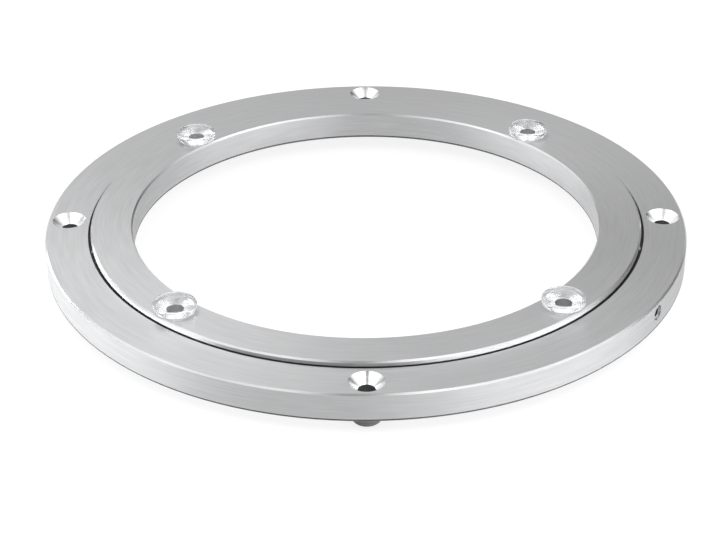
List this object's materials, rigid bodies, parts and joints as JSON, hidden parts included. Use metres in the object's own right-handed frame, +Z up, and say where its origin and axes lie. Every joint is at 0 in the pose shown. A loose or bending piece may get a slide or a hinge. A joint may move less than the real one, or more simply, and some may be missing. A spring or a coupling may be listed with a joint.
{
  "type": "lazy susan bearing",
  "caption": "Flat ring bearing: an aluminium inner ring with clear pads turns on caged balls inside an aluminium outer ring with countersunk screw holes and rubber feet.",
  "frame": {"origin": "on the table under the centre of the rings, at the underside of the feet", "axes": "+Z up along the turning axis; the front in the picture faces -Y"},
  "size_m": [0.2, 0.2, 0.0165],
  "materials": {
    "ring_aluminium": "satin, finely turned",
    "ball_steel": "polished",
    "cage_nylon": "matte",
    "plug_steel": "satin",
    "foot_rubber": "matte",
    "pad_clear": "clear, glossy"
  },
  "bodies": {
    "base": {"outer_ring": "ring_aluminium", "loading_plug": "plug_steel", "rubber_foot_front": "foot_rubber", "rubber_foot_right": "foot_rubber", "rubber_foot_back": "foot_rubber", "rubber_foot_left": "foot_rubber"},
    "turntable": {"inner_ring": "ring_aluminium", "clear_pad_front_right": "pad_clear", "clear_pad_back_right": "pad_clear", "clear_pad_back_left": "pad_clear", "clear_pad_front_left": "pad_clear"},
    "ball_set": {"bearing_balls": "ball_steel", "ball_cage": "cage_nylon"}
  },
  "joints": [
    {"name": "turntable_spin", "type": "hinge", "parent": "base", "child": "turntable", "pos_m": [0, 0, 0.00875], "axis": [0, 0, 1], "continuous": true},
    {"name": "ball_set_roll", "type": "hinge", "parent": "base", "child": "ball_set", "pos_m": [0, 0, 0.00875], "axis": [0, 0, 1], "continuous": true}
  ],
  "couplings": [
    {"joint": "ball_set_roll", "follows": "turntable_spin", "ratio": 0.49181}
  ]
}
